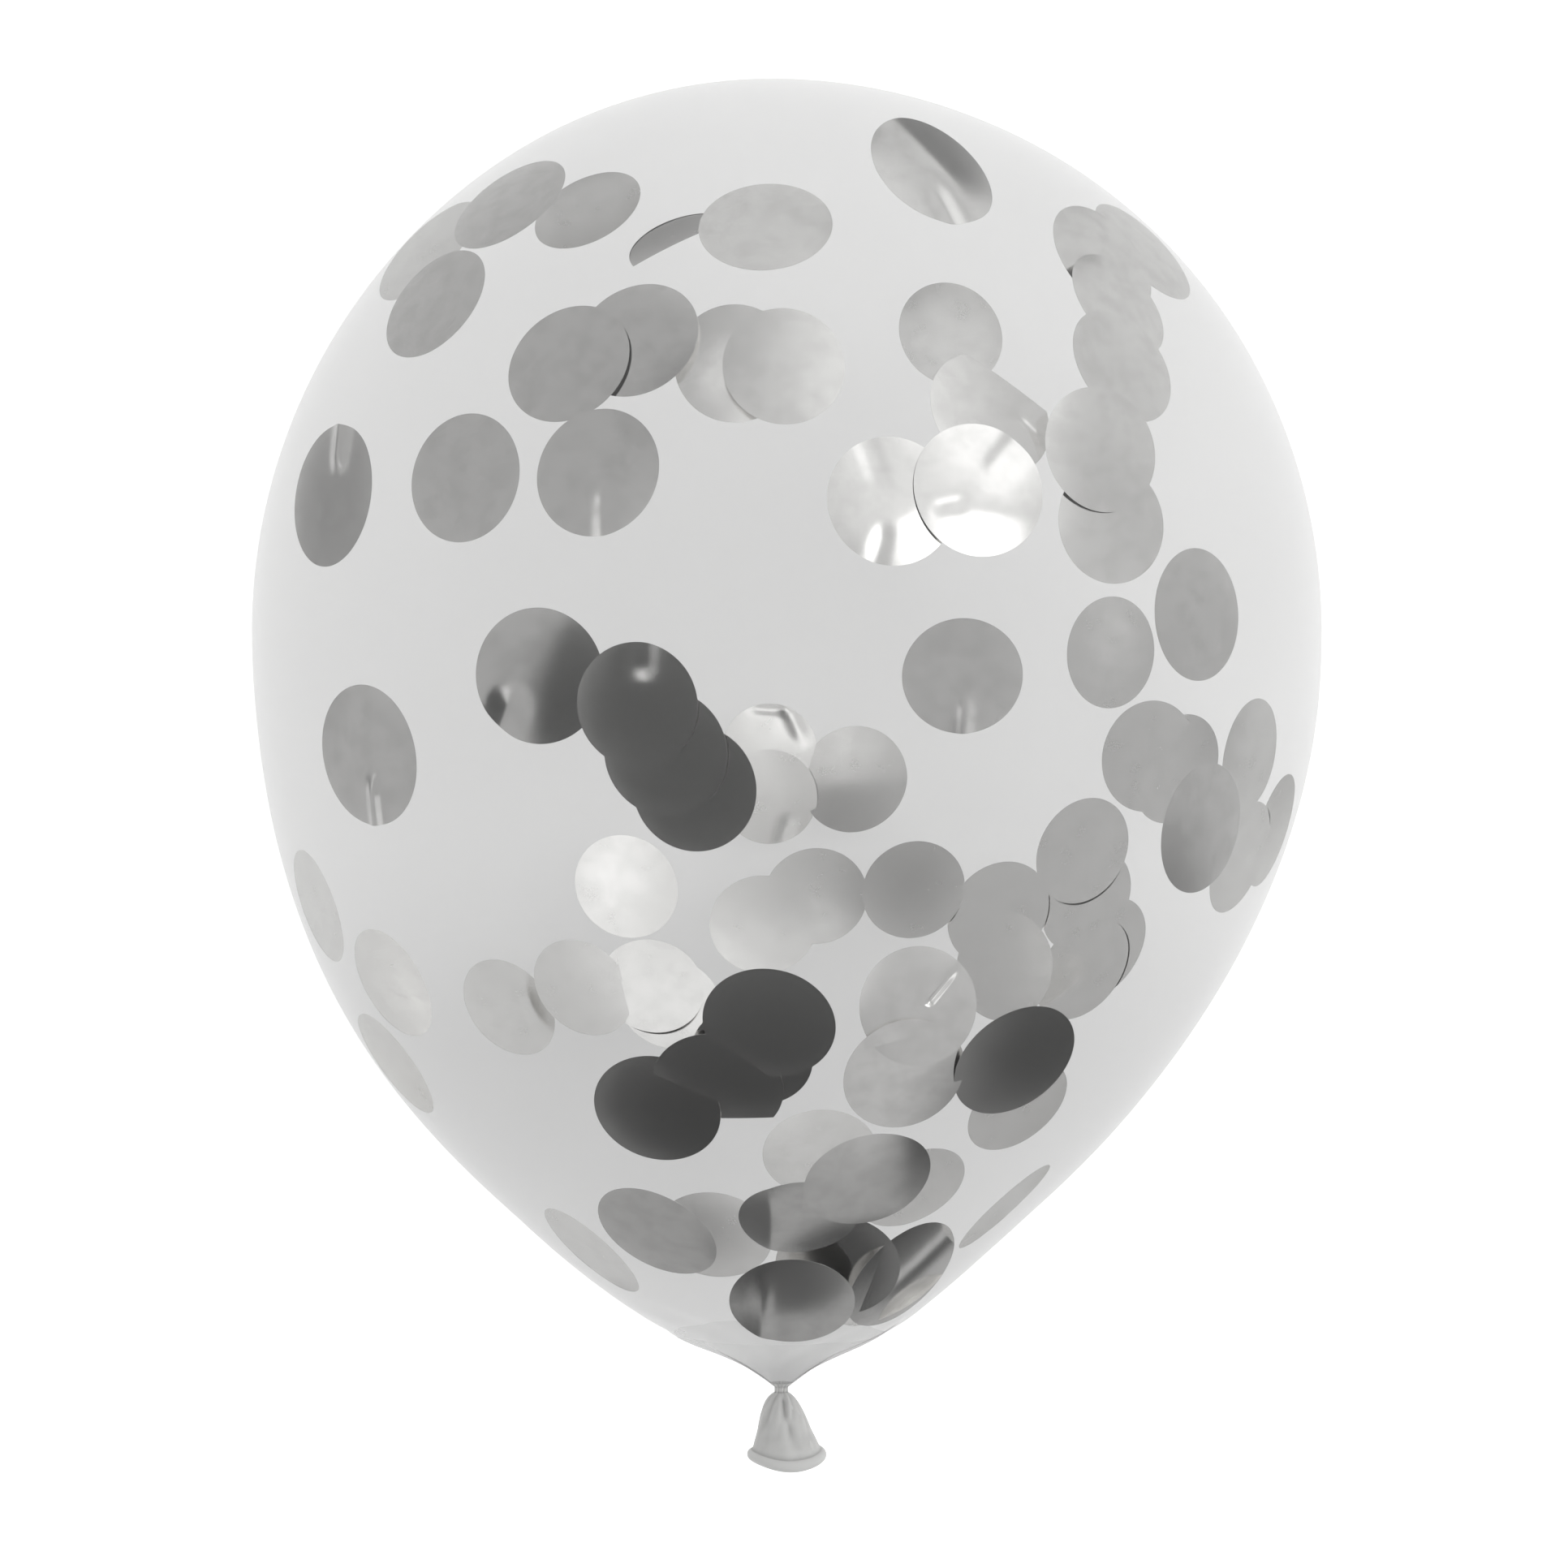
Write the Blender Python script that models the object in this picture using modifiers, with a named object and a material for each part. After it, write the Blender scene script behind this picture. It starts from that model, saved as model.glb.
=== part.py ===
"""A clear party balloon, blown up, tied off and lying on its side.

The balloon is one latex moulding: body, tied waist, tail and rolled lip. It is turned from one outline
about its long axis, swayed a little off true as a real balloon is, and laid down along Y with its crown at
the +Y end. It rests on a small flat patch under its widest ring. The origin is on the surface that it lies
on, under the middle of its length. Units are metres.
"""

import math

import bmesh
import bpy
from mathutils import Matrix, Vector

# Driving sizes of the body. Heights run along the long axis from the widest ring.
BODY_WIDTH = 0.280
CROWN_HEIGHT = 0.1445
WAIST_DROP = 0.1985
REST_PATCH_DEPTH = 0.0020

# Driving sizes of the tied neck and of the tail below it.
WAIST_WIDTH = 0.0034
WAIST_LENGTH = 0.0014
TAIL_LENGTH = 0.0180
LIP_WIDTH = 0.0209
LIP_BEAD = 0.0028
TAIL_WALL = 0.0006
TAIL_FLATTENING_RATIO = 0.80
LIP_SLANT_RATIO = 0.22

# The lower body's two curves, as shares of half the body's width and of the drop to the waist.
FLANK_CURVE = ((1.0, 0.0), (1.0, 0.458), (0.586, 0.701), (0.476, 0.773))
NECK_HANDLES = ((0.163, 0.980), (0.155, 0.919))

# The tail's shoulder and skirt, as shares of its throat's half width and of its length to the throat.
TAIL_HANDLES = ((0.54, 0.10), (0.62, 0.40))

# How far the long axis sways sideways at the crown, the lower flank and the waist, and where the sway sets
# in, as shares of the drop to the waist. The lip is back on the axis.
CROWN_SWAY = -0.0037
CROWN_SWAY_POWER = 6
FLANK_SWAY = -0.0040
WAIST_SWAY = -0.0015
FLANK_SWAY_START_SHARE = 0.07
FLANK_SWAY_FULL_SHARE = 0.65
FLANK_SWAY_END_SHARE = 0.80

# How finely the outline is cut up.
STEPS_AROUND = 60
CROWN_STEPS = 13
FLANK_STEPS = 12
NECK_STEPS = 6
TAIL_STEPS = 6
BEAD_STEPS = 8

MERGE_DISTANCE = 0.00001
CUTTER_MARGIN = 0.05

BODY_RADIUS = BODY_WIDTH / 2
WAIST_RADIUS = WAIST_WIDTH / 2
BEAD_RADIUS = LIP_BEAD / 2
AXIS_HEIGHT = BODY_RADIUS - REST_PATCH_DEPTH
WAIST_END = WAIST_DROP + WAIST_LENGTH
LIP_END = WAIST_END + TAIL_LENGTH
BEAD_MIDDLE = Vector((LIP_WIDTH / 2 - BEAD_RADIUS, BEAD_RADIUS - LIP_END))


def smooth_step(value, start, end):
    """A value eased from 0 at start to 1 at end."""
    share = min(1.0, max(0.0, (value - start) / (end - start)))
    return share * share * (3 - 2 * share)


def bezier(corners, steps):
    """Points along a cubic curve after its first corner, as (radius, height)."""
    start, leave, arrive, end = (Vector(corner) for corner in corners)
    points = []
    for step in range(1, steps + 1):
        t = step / steps
        u = 1 - t
        points.append(start * u**3 + leave * 3 * u * u * t + arrive * 3 * u * t * t + end * t**3)
    return points


def body_outline():
    """The body's outline from the crown, round its widest ring and in to the waist."""
    points = []
    for step in range(CROWN_STEPS + 1):
        angle = math.pi / 2 * (1 - step / CROWN_STEPS)
        points.append(Vector((BODY_RADIUS * math.cos(angle), CROWN_HEIGHT * math.sin(angle))))
    points[0].x = 0.0

    flank = [(r * BODY_RADIUS, -drop * WAIST_DROP) for r, drop in FLANK_CURVE]
    points += bezier(flank, FLANK_STEPS)

    handles = [(r * BODY_RADIUS, -drop * WAIST_DROP) for r, drop in NECK_HANDLES]
    points += bezier([flank[-1], *handles, (WAIST_RADIUS, -WAIST_DROP)], NECK_STEPS)
    points.append(Vector((WAIST_RADIUS, -WAIST_END)))
    return points


def tail_side():
    """The tail's outer side from the waist's lower end to the throat above the lip."""
    throat_radius = BEAD_MIDDLE.x
    throat_length = TAIL_LENGTH - LIP_BEAD
    handles = [(r * throat_radius, -WAIST_END - along * throat_length) for r, along in TAIL_HANDLES]
    start = (WAIST_RADIUS, -WAIST_END)
    return bezier([start, *handles, (throat_radius, -WAIST_END - throat_length)], TAIL_STEPS)


def bead_round():
    """The rolled lip, from the outside of the throat round under to the inside."""
    points = []
    for step in range(1, BEAD_STEPS):
        angle = math.pi / 2 - 2 * math.pi * step / BEAD_STEPS
        points.append(BEAD_MIDDLE + BEAD_RADIUS * Vector((math.cos(angle), math.sin(angle))))
    return points


def mouth_side(outer):
    """The open mouth's wall, one latex thickness inside the tail's outer side, up to its blind end."""
    inner = [Vector((point.x - TAIL_WALL, point.y)) for point in reversed(outer[1:])]
    blind_end = Vector((0.0, outer[0].y))
    return [point for point in inner if point.x > TAIL_WALL] + [blind_end]


def whole_outline():
    """The balloon's outline from the crown down its outside and back up into the tail's mouth."""
    tail = tail_side()
    return body_outline() + tail + bead_round() + mouth_side(tail)


def sway_at(height):
    """How far the long axis stands to one side at this height from the widest ring."""
    if height >= 0:
        return CROWN_SWAY * (height / CROWN_HEIGHT) ** CROWN_SWAY_POWER
    drop = -height / WAIST_DROP
    to_flank = FLANK_SWAY * smooth_step(drop, FLANK_SWAY_START_SHARE, FLANK_SWAY_FULL_SHARE)
    to_waist = (WAIST_SWAY - FLANK_SWAY) * smooth_step(drop, FLANK_SWAY_END_SHARE, 1.0)
    to_lip = -WAIST_SWAY * smooth_step(-height, WAIST_END, LIP_END)
    return to_flank + to_waist + to_lip


def tail_share(height):
    """How far down the tail this height is: 0 at the waist and above it, and 1 at the lip."""
    return smooth_step(-height, WAIST_DROP, LIP_END)


def turned_mesh(name, outline):
    """The outline turned about the long axis with a Screw modifier, as a plain mesh."""
    profile = bpy.data.meshes.new(name + "_outline")
    edges = [(i, i + 1) for i in range(len(outline) - 1)]
    profile.from_pydata([(point.x, 0.0, point.y) for point in outline], edges, [])
    turned = bpy.data.objects.new(name + "_outline", profile)
    bpy.context.scene.collection.objects.link(turned)

    screw = turned.modifiers.new("turn", "SCREW")
    screw.axis = "Z"
    screw.angle = 2 * math.pi
    screw.steps = STEPS_AROUND
    screw.render_steps = STEPS_AROUND
    screw.use_merge_vertices = True
    screw.merge_threshold = MERGE_DISTANCE
    screw.use_smooth_shade = True

    graph = bpy.context.evaluated_depsgraph_get()
    mesh = bpy.data.meshes.new_from_object(turned.evaluated_get(graph))
    bpy.data.objects.remove(turned)
    mesh.name = name
    return mesh


def sway_and_flatten(mesh):
    """Moves the turned rings off true, and makes the tail an oval with a slanting lip."""
    for vertex in mesh.vertices:
        height = vertex.co.z
        share = tail_share(height)
        vertex.co.x += sway_at(height)
        vertex.co.y *= 1 - (1 - TAIL_FLATTENING_RATIO) * share
        vertex.co.z += LIP_SLANT_RATIO * share * vertex.co.y


def centre_over_origin(mesh):
    """Moves the lying balloon so that the middle of its width and length is over the origin."""
    for axis in (0, 1):
        places = [vertex.co[axis] for vertex in mesh.vertices]
        middle = (min(places) + max(places)) / 2
        for vertex in mesh.vertices:
            vertex.co[axis] -= middle


def rest_cutter(collection):
    """A box that reaches up to the surface that the balloon lies on."""
    width = BODY_WIDTH + CUTTER_MARGIN
    length = CROWN_HEIGHT + LIP_END + CUTTER_MARGIN
    mesh = bpy.data.meshes.new("rest_patch_cutter")
    blocks = bmesh.new()
    bmesh.ops.create_cube(blocks, size=1.0)
    bmesh.ops.scale(blocks, vec=(width, 2 * length, CUTTER_MARGIN), verts=blocks.verts)
    blocks.to_mesh(mesh)
    blocks.free()

    cutter = bpy.data.objects.new("rest_patch_cutter", mesh)
    cutter.location.z = -CUTTER_MARGIN / 2
    cutter.hide_render = True
    cutter.display_type = "WIRE"
    collection.objects.link(cutter)
    return cutter


def latex_material():
    """Clear latex, thin enough to see through."""
    material = bpy.data.materials.new("clear_latex")
    material.use_nodes = True
    shader = material.node_tree.nodes["Principled BSDF"]
    shader.inputs["Base Color"].default_value = (0.62, 0.62, 0.61, 1.0)
    shader.inputs["Roughness"].default_value = 0.30
    shader.inputs["Metallic"].default_value = 0.0
    shader.inputs["Alpha"].default_value = 0.35
    return material


def make_balloon(collection, cutter):
    """The balloon's one piece of latex, laid on its side."""
    mesh = turned_mesh("balloon", whole_outline())
    sway_and_flatten(mesh)
    mesh.transform(Matrix.Rotation(-math.pi / 2, 4, "X"))
    centre_over_origin(mesh)

    balloon = bpy.data.objects.new("balloon", mesh)
    balloon.location.z = AXIS_HEIGHT
    mesh.materials.append(latex_material())
    collection.objects.link(balloon)

    patch = balloon.modifiers.new("rest patch", "BOOLEAN")
    patch.operation = "DIFFERENCE"
    patch.object = cutter
    return balloon


def new_collection(name):
    """A collection in the scene."""
    collection = bpy.data.collections.new(name)
    bpy.context.scene.collection.children.link(collection)
    return collection


def main():
    """Clears the scene and builds the balloon."""
    for old in list(bpy.data.objects):
        bpy.data.objects.remove(old)
    cutter = rest_cutter(new_collection("cutters"))
    make_balloon(new_collection("confetti_balloon"), cutter)


main()
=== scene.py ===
"""Looks of the confetti balloon: its clear skin, the silver foil discs sealed in it, and the studio round it.

The balloon lies along Y with its crown at +Y and its tied tail at -Y, as the frame has it. Everything is in
metres. Discs cling to the inside of the skin, so each one is placed by the line of sight on which the
photograph shows its middle, and is then laid on the near or the far wall and curved to it.
"""

from __future__ import annotations

import logging
import math
from dataclasses import dataclass
from enum import Enum, IntEnum
from typing import Any, Iterable, Sequence

import bmesh
import bpy
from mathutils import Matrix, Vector, noise
from mathutils.bvhtree import BVHTree

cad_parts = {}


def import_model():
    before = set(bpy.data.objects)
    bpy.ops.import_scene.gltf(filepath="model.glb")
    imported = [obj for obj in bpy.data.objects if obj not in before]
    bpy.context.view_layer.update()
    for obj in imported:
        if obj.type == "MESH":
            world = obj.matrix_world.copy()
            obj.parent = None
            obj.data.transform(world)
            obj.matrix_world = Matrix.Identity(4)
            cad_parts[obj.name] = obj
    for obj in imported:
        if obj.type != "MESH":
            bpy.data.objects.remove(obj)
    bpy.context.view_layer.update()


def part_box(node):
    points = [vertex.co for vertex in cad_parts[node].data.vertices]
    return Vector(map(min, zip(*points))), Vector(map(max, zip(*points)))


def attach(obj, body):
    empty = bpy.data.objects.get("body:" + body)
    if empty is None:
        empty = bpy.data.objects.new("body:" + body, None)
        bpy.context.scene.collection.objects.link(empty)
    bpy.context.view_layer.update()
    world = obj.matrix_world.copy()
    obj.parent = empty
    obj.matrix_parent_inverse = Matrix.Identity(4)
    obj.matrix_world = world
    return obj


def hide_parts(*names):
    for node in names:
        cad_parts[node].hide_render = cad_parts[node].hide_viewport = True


LOG = logging.getLogger("confetti_balloon")
BODY = "root"
MILLIMETRE = 0.001
DISC_RADIUS_MM = 16.0


def smooth_step(value: float, start: float, end: float) -> float:
    """Eases a value.

    Args:
        value: The value to ease.
        start: Where the result is 0.
        end: Where the result is 1. It may be below start.

    Returns:
        A share from 0 to 1.
    """
    share = min(1.0, max(0.0, (value - start) / (end - start)))
    return share * share * (3.0 - 2.0 * share)


def bell(distance: float, width: float) -> float:
    """A bell curve that is 1 at no distance and falls off over the width."""
    return math.exp(-((distance / width) ** 2))


@dataclass(frozen=True)
class Val:
    """A number in a node tree. Sums of these build their own Math nodes."""

    tree: bpy.types.NodeTree
    socket: bpy.types.NodeSocket

    def math(self, operation: str, left: Any, right: Any) -> Val:
        """Adds one Math node.

        Args:
            operation: The node's operation.
            left: Its first value, a Val or a number.
            right: Its second value, a Val or a number.

        Returns:
            The node's result.
        """
        node = self.tree.nodes.new("ShaderNodeMath")
        node.operation = operation
        for socket, value in zip(node.inputs, (left, right)):
            if isinstance(value, Val):
                self.tree.links.new(value.socket, socket)
            else:
                socket.default_value = value
        return Val(self.tree, node.outputs[0])

    def __add__(self, other: Any) -> Val:
        """Self plus other."""
        return self.math("ADD", self, other)

    def __radd__(self, other: Any) -> Val:
        """Other plus self."""
        return self.math("ADD", other, self)

    def __sub__(self, other: Any) -> Val:
        """Self minus other."""
        return self.math("SUBTRACT", self, other)

    def __rsub__(self, other: Any) -> Val:
        """Other minus self."""
        return self.math("SUBTRACT", other, self)

    def __mul__(self, other: Any) -> Val:
        """Self times other."""
        return self.math("MULTIPLY", self, other)

    def __rmul__(self, other: Any) -> Val:
        """Other times self."""
        return self.math("MULTIPLY", other, self)


class NodeBoard:
    """A node tree that is being laid out."""

    def __init__(self, tree: bpy.types.NodeTree) -> None:
        """Takes the tree and empties it."""
        self.tree = tree
        tree.nodes.clear()

    def node(self, kind: str, settings: dict[str, Any], inputs: dict[Any, Any]) -> bpy.types.Node:
        """Adds a node.

        Args:
            kind: The node's type.
            settings: Its own properties, set first.
            inputs: A value, a socket or a Val for each named or numbered input socket.

        Returns:
            The new node.
        """
        node = self.tree.nodes.new(kind)
        for name, value in settings.items():
            setattr(node, name, value)
        for name, value in inputs.items():
            socket = node.inputs[name]
            if isinstance(value, Val):
                self.tree.links.new(value.socket, socket)
            elif isinstance(value, bpy.types.NodeSocket):
                self.tree.links.new(value, socket)
            else:
                socket.default_value = value
        return node

    def val(self, socket: bpy.types.NodeSocket) -> Val:
        """Wraps an output socket so that it can be used in a sum."""
        return Val(self.tree, socket)

    def place(self) -> bpy.types.NodeSocket:
        """The point that is being shaded, in the object's own metres."""
        return self.node("ShaderNodeTexCoord", {}, {}).outputs["Object"]

    def grain(self, scale: float, detail: float, lift: float = 0.5) -> Val:
        """Adds noise over the object.

        Args:
            scale: How many waves it has to a metre.
            detail: How many finer octaves it has.
            lift: How rough the octaves are.

        Returns:
            A number that wavers about one half.
        """
        settings = {"noise_dimensions": "3D"}
        inputs = {"Vector": self.place(), "Scale": scale, "Detail": detail, "Roughness": lift}
        return self.val(self.node("ShaderNodeTexNoise", settings, inputs).outputs["Fac"])

    def eased(self, value: Any, start: float, end: float, low: float, high: float) -> Val:
        """Maps a range of a value onto another range with soft ends.

        Args:
            value: The value to map.
            start: Where the result is low.
            end: Where the result is high.
            low: The result before start.
            high: The result after end.

        Returns:
            The mapped value.
        """
        settings = {"interpolation_type": "SMOOTHSTEP"}
        inputs = {"Value": value, "From Min": start, "From Max": end, "To Min": low, "To Max": high}
        return self.val(self.node("ShaderNodeMapRange", settings, inputs).outputs["Result"])

    def blend(self, share: Any, first: Any, second: Any) -> bpy.types.NodeSocket:
        """Mixes two colours.

        Args:
            share: How much of the second colour there is.
            first: A colour or a colour socket.
            second: A colour or a colour socket.

        Returns:
            The mixed colour.
        """
        settings = {"data_type": "RGBA"}
        inputs = {0: share, 6: first, 7: second}
        return self.node("ShaderNodeMix", settings, inputs).outputs[2]

    def dented(self, height: Any, strength: float, distance: float) -> bpy.types.NodeSocket:
        """Adds a bump.

        Args:
            height: The height that makes it.
            strength: Its strength.
            distance: How high a height of 1 stands, in metres.

        Returns:
            The bumped normal.
        """
        inputs = {"Strength": strength, "Distance": distance, "Height": height}
        return self.node("ShaderNodeBump", {}, inputs).outputs["Normal"]

    def principled(self, inputs: dict[str, Any]) -> None:
        """Adds the surface shader with these inputs and joins it to the output."""
        shader = self.node("ShaderNodeBsdfPrincipled", {}, inputs)
        self.node("ShaderNodeOutputMaterial", {}, {"Surface": shader.outputs["BSDF"]})


def new_material(name: str) -> tuple[bpy.types.Material, NodeBoard]:
    """Starts a material.

    Args:
        name: The material's name.

    Returns:
        The material, and the empty board of its nodes.
    """
    material = bpy.data.materials.new(name)
    material.use_nodes = True
    return material, NodeBoard(material.node_tree)


@dataclass(frozen=True)
class FilmFinish:
    """Stretched clear latex: see-through, smoky, a little uneven, with a soft sheen, and painted shade that
    darkens it along Y towards the neck.

    Attributes:
        name: The material's name.
        tint: Its colour towards the crown.
        shade_and_cloud_tint: The colour of its painted shade towards the neck, and that of its clouds.
        shade_from: Where along Y its painted shade begins.
        shade_to: Where along Y its painted shade is full.
        alpha: How much of what is behind it it hides.
        roughness: Its roughness.
        sheen_level: How strong its sheen is.
        cloud_scale: How many clouds it has to a metre.
        cloud_detail: How many finer octaves the clouds have.
        cloud_edges: The noise at which a cloud begins and at which it is full.
        cloud_depth: How dark a cloud is.
        unevenness: How much its roughness wavers.
    """

    name: str
    tint: tuple[float, float, float]
    shade_and_cloud_tint: tuple[float, float, float]
    shade_from: float
    shade_to: float
    alpha: float
    roughness: float
    sheen_level: float
    cloud_scale: float = 9.0
    cloud_detail: float = 2.0
    cloud_edges: tuple[float, float] = (0.35, 0.7)
    cloud_depth: float = 0.25
    unevenness: float = 0.06

    def material(self) -> bpy.types.Material:
        """Makes the material.

        Returns:
            Latex whose tint deepens with painted shade between two places along Y, under faint clouds.
        """
        material, board = new_material(self.name)
        along = board.val(board.node("ShaderNodeSeparateXYZ", {}, {0: board.place()}).outputs["Y"])
        # Painted shade: the tint darkens along Y towards the neck.
        fade = board.eased(along, self.shade_from, self.shade_to, 0.0, 1.0)
        colour = board.blend(fade, (*self.tint, 1.0), (*self.shade_and_cloud_tint, 1.0))
        clouds = board.grain(self.cloud_scale, self.cloud_detail)
        cloudy = board.blend(board.eased(clouds, *self.cloud_edges, 0.0, self.cloud_depth), colour,
                             (*self.shade_and_cloud_tint, 1.0))
        board.principled({
            "Base Color": cloudy,
            "Roughness": self.roughness + self.unevenness * (clouds - 0.5),
            "Specular IOR Level": self.sheen_level,
            "Alpha": self.alpha,
        })
        return material


@dataclass(frozen=True)
class TailFinish:
    """Unstretched latex at the tail: thick, cloudy and matt, with painted shade darkening its folds.

    Attributes:
        name: The material's name.
        tint: Its colour where it is smooth.
        fold_shade_tint: The colour of the painted shade in its folds.
        alpha: How much of what is behind it it hides.
        roughness: Its roughness.
        unevenness: How much its roughness wavers.
        sheen_level: How strong its sheen is.
        cloud_scale: How many clouds it has to a metre.
        cloud_detail: How many finer octaves the clouds have.
        fold_shade_edges: How hollow it is where the painted fold shade is full, and where it ends.
        fold_shade_mottle: How much the clouds break up the edges of the painted fold shade.
        wrinkle_scale: How many wrinkles it has to a metre.
        wrinkle_detail: How many finer octaves the wrinkles have.
        wrinkle_lift: How rough those octaves are.
        wrinkle_strength: How strongly the wrinkles show.
        wrinkle_height: How high they stand, in metres.
    """

    name: str
    tint: tuple[float, float, float]
    fold_shade_tint: tuple[float, float, float]
    alpha: float
    roughness: float = 0.45
    unevenness: float = 0.10
    sheen_level: float = 0.4
    cloud_scale: float = 260.0
    cloud_detail: float = 3.0
    fold_shade_edges: tuple[float, float] = (0.44, 0.52)
    fold_shade_mottle: float = 0.04
    wrinkle_scale: float = 900.0
    wrinkle_detail: float = 4.0
    wrinkle_lift: float = 0.6
    wrinkle_strength: float = 0.35
    wrinkle_height: float = 0.0002

    def material(self) -> bpy.types.Material:
        """Makes the material.

        Returns:
            Cloudy latex with a fine, skin-like surface, and painted shade in its hollows.
        """
        material, board = new_material(self.name)
        hollow = board.val(board.node("ShaderNodeNewGeometry", {}, {}).outputs["Pointiness"])
        clouds = board.grain(self.cloud_scale, self.cloud_detail)
        # Painted shade: hollow places, found by pointiness, take the darker fold colour.
        folds = board.eased(hollow + self.fold_shade_mottle * (clouds - 0.5), *self.fold_shade_edges, 1.0, 0.0)
        colour = board.blend(folds, (*self.tint, 1.0), (*self.fold_shade_tint, 1.0))
        skin = board.grain(self.wrinkle_scale, self.wrinkle_detail, self.wrinkle_lift)
        board.principled({
            "Base Color": colour,
            "Roughness": self.roughness + self.unevenness * (clouds - 0.5),
            "Specular IOR Level": self.sheen_level,
            "Normal": board.dented(skin, self.wrinkle_strength, self.wrinkle_height),
            "Alpha": self.alpha,
        })
        return material


@dataclass(frozen=True)
class FoilFinish:
    """Metallised silver confetti foil, with a faint grain and shallow handling marks.

    Attributes:
        name: The material's name.
        silver: Its colour where it is fresh.
        dull_silver: Its colour where it is rubbed.
        roughness: Its roughness.
        rub_scale: How many rubbed places it has to a metre.
        rub_detail: How many finer octaves they have.
        rub_edges: The noise at which rubbing begins and at which it is full.
        rub_unevenness: How much the rubbing changes its roughness.
        grain_scale: How fine its grain is, to a metre.
        grain_detail: How many finer octaves the grain has.
        grain_unevenness: How much the grain changes its roughness.
        grain_share: How high the grain stands against the waves.
        wave_scale: How many soft waves it has to a metre.
        wave_detail: How many finer octaves the waves have.
        wave_strength: How strongly the waves show.
        wave_height: How high they stand, in metres.
    """

    name: str
    silver: tuple[float, float, float] = (0.91, 0.905, 0.895)
    dull_silver: tuple[float, float, float] = (0.83, 0.825, 0.815)
    roughness: float = 0.17
    rub_scale: float = 170.0
    rub_detail: float = 3.0
    rub_edges: tuple[float, float] = (0.35, 0.75)
    rub_unevenness: float = 0.10
    grain_scale: float = 2600.0
    grain_detail: float = 2.0
    grain_unevenness: float = 0.06
    grain_share: float = 0.02
    wave_scale: float = 85.0
    wave_detail: float = 1.0
    wave_strength: float = 0.5
    wave_height: float = 0.00003

    def material(self) -> bpy.types.Material:
        """Makes the material.

        Returns:
            A satin mirror with broad soft waves and a fine grain.
        """
        material, board = new_material(self.name)
        rubbed = board.grain(self.rub_scale, self.rub_detail)
        grain = board.grain(self.grain_scale, self.grain_detail)
        waves = board.grain(self.wave_scale, self.wave_detail)
        colour = board.blend(board.eased(rubbed, *self.rub_edges, 0.0, 1.0), (*self.silver, 1.0),
                             (*self.dull_silver, 1.0))
        height = waves + self.grain_share * grain
        change = self.rub_unevenness * (rubbed - 0.5)
        board.principled({
            "Base Color": colour,
            "Metallic": 1.0,
            "Roughness": self.roughness + change + self.grain_unevenness * (grain - 0.5),
            "Normal": board.dented(height, self.wave_strength, self.wave_height),
        })
        return material


@dataclass(frozen=True)
class FloorFinish:
    """A lit white table top.

    Attributes:
        name: The material's name.
        white: How white it is.
        grain_shade: How much darker its grain is.
        grain_scale: How many grains it has to a metre.
        grain_detail: How many finer octaves the grain has.
        roughness: Its roughness.
        glow: How much light it gives.
    """

    name: str
    white: float = 0.80
    grain_shade: float = 0.97
    grain_scale: float = 30.0
    grain_detail: float = 4.0
    roughness: float = 0.9
    glow: float = 0.62

    def material(self) -> bpy.types.Material:
        """Makes the material.

        Returns:
            A matt white that also gives light, with a faint grain.
        """
        material, board = new_material(self.name)
        grain = board.grain(self.grain_scale, self.grain_detail)
        shade = self.white * self.grain_shade
        pale = board.blend(grain, (self.white, self.white, self.white, 1.0), (shade, shade, shade, 1.0))
        board.principled({
            "Base Color": pale,
            "Roughness": self.roughness,
            "Specular IOR Level": 0.0,
            "Emission Color": (1.0, 1.0, 1.0, 1.0),
            "Emission Strength": self.glow,
        })
        return material


@dataclass(frozen=True)
class PhotoView:
    """Where the photograph was taken from, and how its pixels become lines of sight.

    Attributes:
        eye: The camera's place.
        image_size: How many pixels wide and high the photograph is.
        focal_length: The lens's focal length in millimetres.
        sensor_width: The sensor's width in millimetres.
        farthest_seen: How far away the camera still sees.
    """

    eye: tuple[float, float, float] = (-0.00075, -0.00225, 1.329)
    image_size: float = 1932.0
    focal_length: float = 103.8
    sensor_width: float = 36.0
    farthest_seen: float = 60.0

    def sight(self, pixel: tuple[float, float]) -> Vector:
        """The direction in which the camera sees a pixel of the photograph.

        Args:
            pixel: The pixel, counted from the top left.

        Returns:
            A unit vector.
        """
        middle = self.image_size / 2
        scale = self.sensor_width / self.focal_length / self.image_size
        return Vector(((pixel[0] - middle) * scale, (middle - pixel[1]) * scale, -1.0)).normalized()

    def real_length(self, pixels: float, point: Vector) -> float:
        """How long something at a point is, in metres, when it is seen this many pixels long."""
        return pixels * (self.eye[2] - point.z) * self.sensor_width / self.focal_length / self.image_size

    def add_camera(self) -> bpy.types.Object:
        """Adds the scene's camera, which looks straight down.

        Returns:
            The camera.
        """
        lens = bpy.data.cameras.new("photo_camera")
        lens.lens = self.focal_length
        lens.sensor_fit = "HORIZONTAL"
        lens.sensor_width = self.sensor_width
        lens.clip_end = self.farthest_seen
        camera = bpy.data.objects.new("photo_camera", lens)
        camera.location = self.eye
        bpy.context.scene.collection.objects.link(camera)
        bpy.context.scene.camera = camera
        return camera


class Latex(IntEnum):
    """The slot of each latex finish on the skin."""

    BODY = 0
    NECK = 1
    TAIL = 2


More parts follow.
